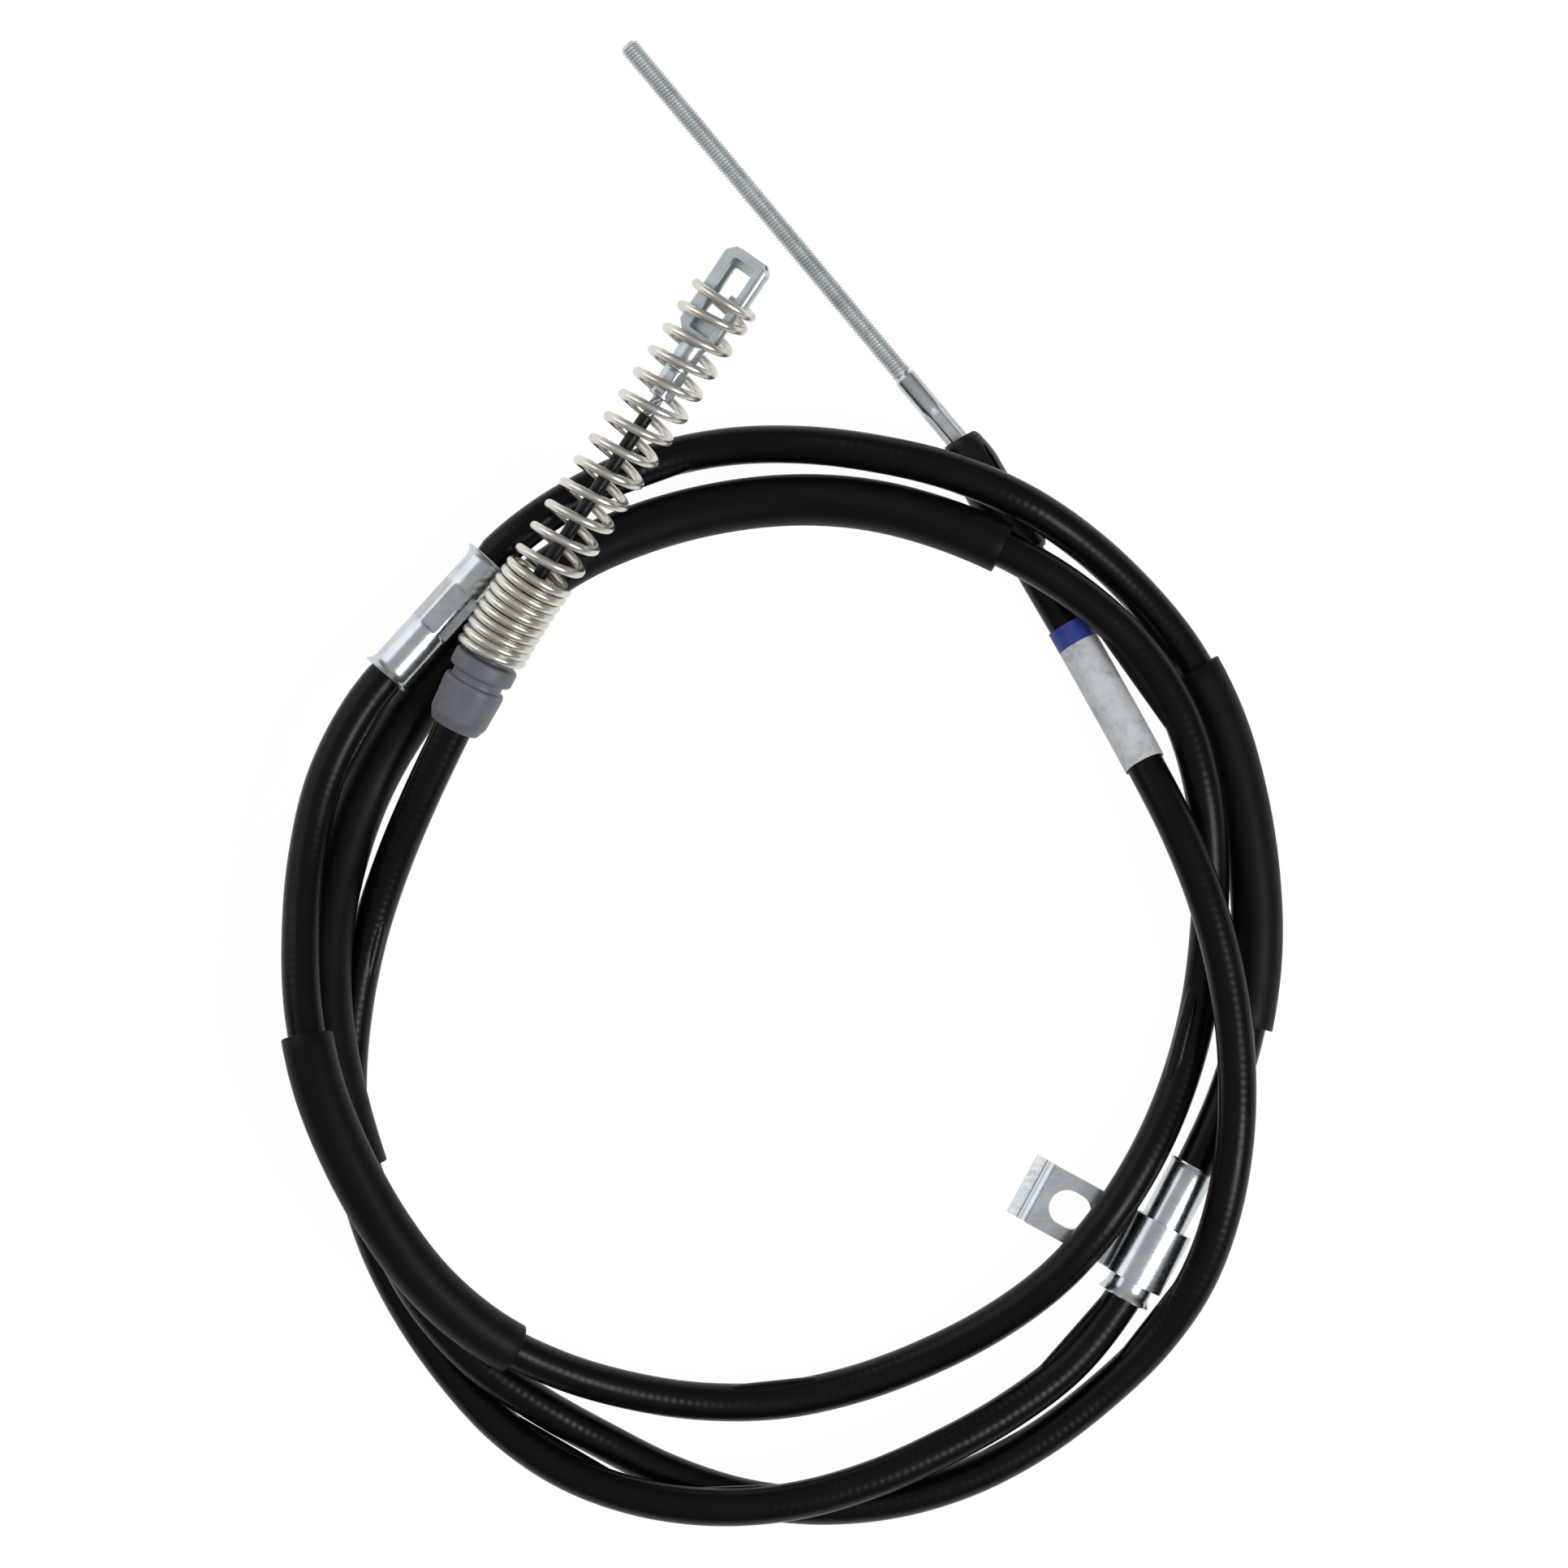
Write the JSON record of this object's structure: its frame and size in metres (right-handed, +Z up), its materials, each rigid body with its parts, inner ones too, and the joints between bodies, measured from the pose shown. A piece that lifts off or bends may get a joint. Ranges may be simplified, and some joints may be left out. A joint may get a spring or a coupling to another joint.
{
  "type": "parking brake cable",
  "caption": "Coiled parking brake cable: black sheathed rope with sleeves, clamp bracket, crimped ferrule, M6 threaded stud, and a return spring with a sheet-metal eye.",
  "frame": {"origin": "centre of the bounding box on the plane that the coil lies on", "axes": "+Z up from the plane the coil lies on; +Y towards the tip of the threaded stud; +X towards the side with the clamp bracket"},
  "size_m": [0.2877, 0.4302, 0.054],
  "materials": {
    "conduit_pvc": "satin black PVC cover",
    "sleeve_pvc": "matt black PVC tube",
    "cap_plastic": "satin moulded black nylon",
    "seat_plastic": "satin moulded grey nylon",
    "label_film": "silver-white film with a blue band",
    "zinc_steel": "bright zinc plate",
    "eye_steel": "bluish zinc plate",
    "spring_steel": "plated spring wire",
    "rope_steel": "galvanised stranded rope",
    "rope_coating": "smooth black polymer coating on the rope"
  },
  "bodies": {
    "casing": {"conduit": "conduit_pvc", "core_cable": "rope_steel", "sleeve_right": "sleeve_pvc", "sleeve_left": "sleeve_pvc", "sleeve_inner": "sleeve_pvc", "identification_label": "label_film", "crimp_ferrule": "zinc_steel", "bracket_tube": "zinc_steel", "clamp_bracket": "zinc_steel", "end_cap": "cap_plastic", "spring_seat": "seat_plastic", "return_spring": "spring_steel"},
    "stud_end": {"threaded_stud": "zinc_steel", "stud_cable": "rope_steel"},
    "eye_end": {"cable_eye": "eye_steel", "eye_cable": "rope_steel", "eye_cable_coating": "rope_coating"}
  },
  "joints": [
    {"name": "stud_pull", "type": "slide", "parent": "casing", "child": "stud_end", "axis": [-0.6404, 0.7681, 0], "range_m": [0, 0.018]},
    {"name": "eye_draw", "type": "slide", "parent": "casing", "child": "eye_end", "axis": [-0.5582, -0.8204, -0.1239], "range_m": [0, 0.018]}
  ],
  "couplings": [
    {"joint": "eye_draw", "follows": "stud_pull", "ratio": 1}
  ]
}
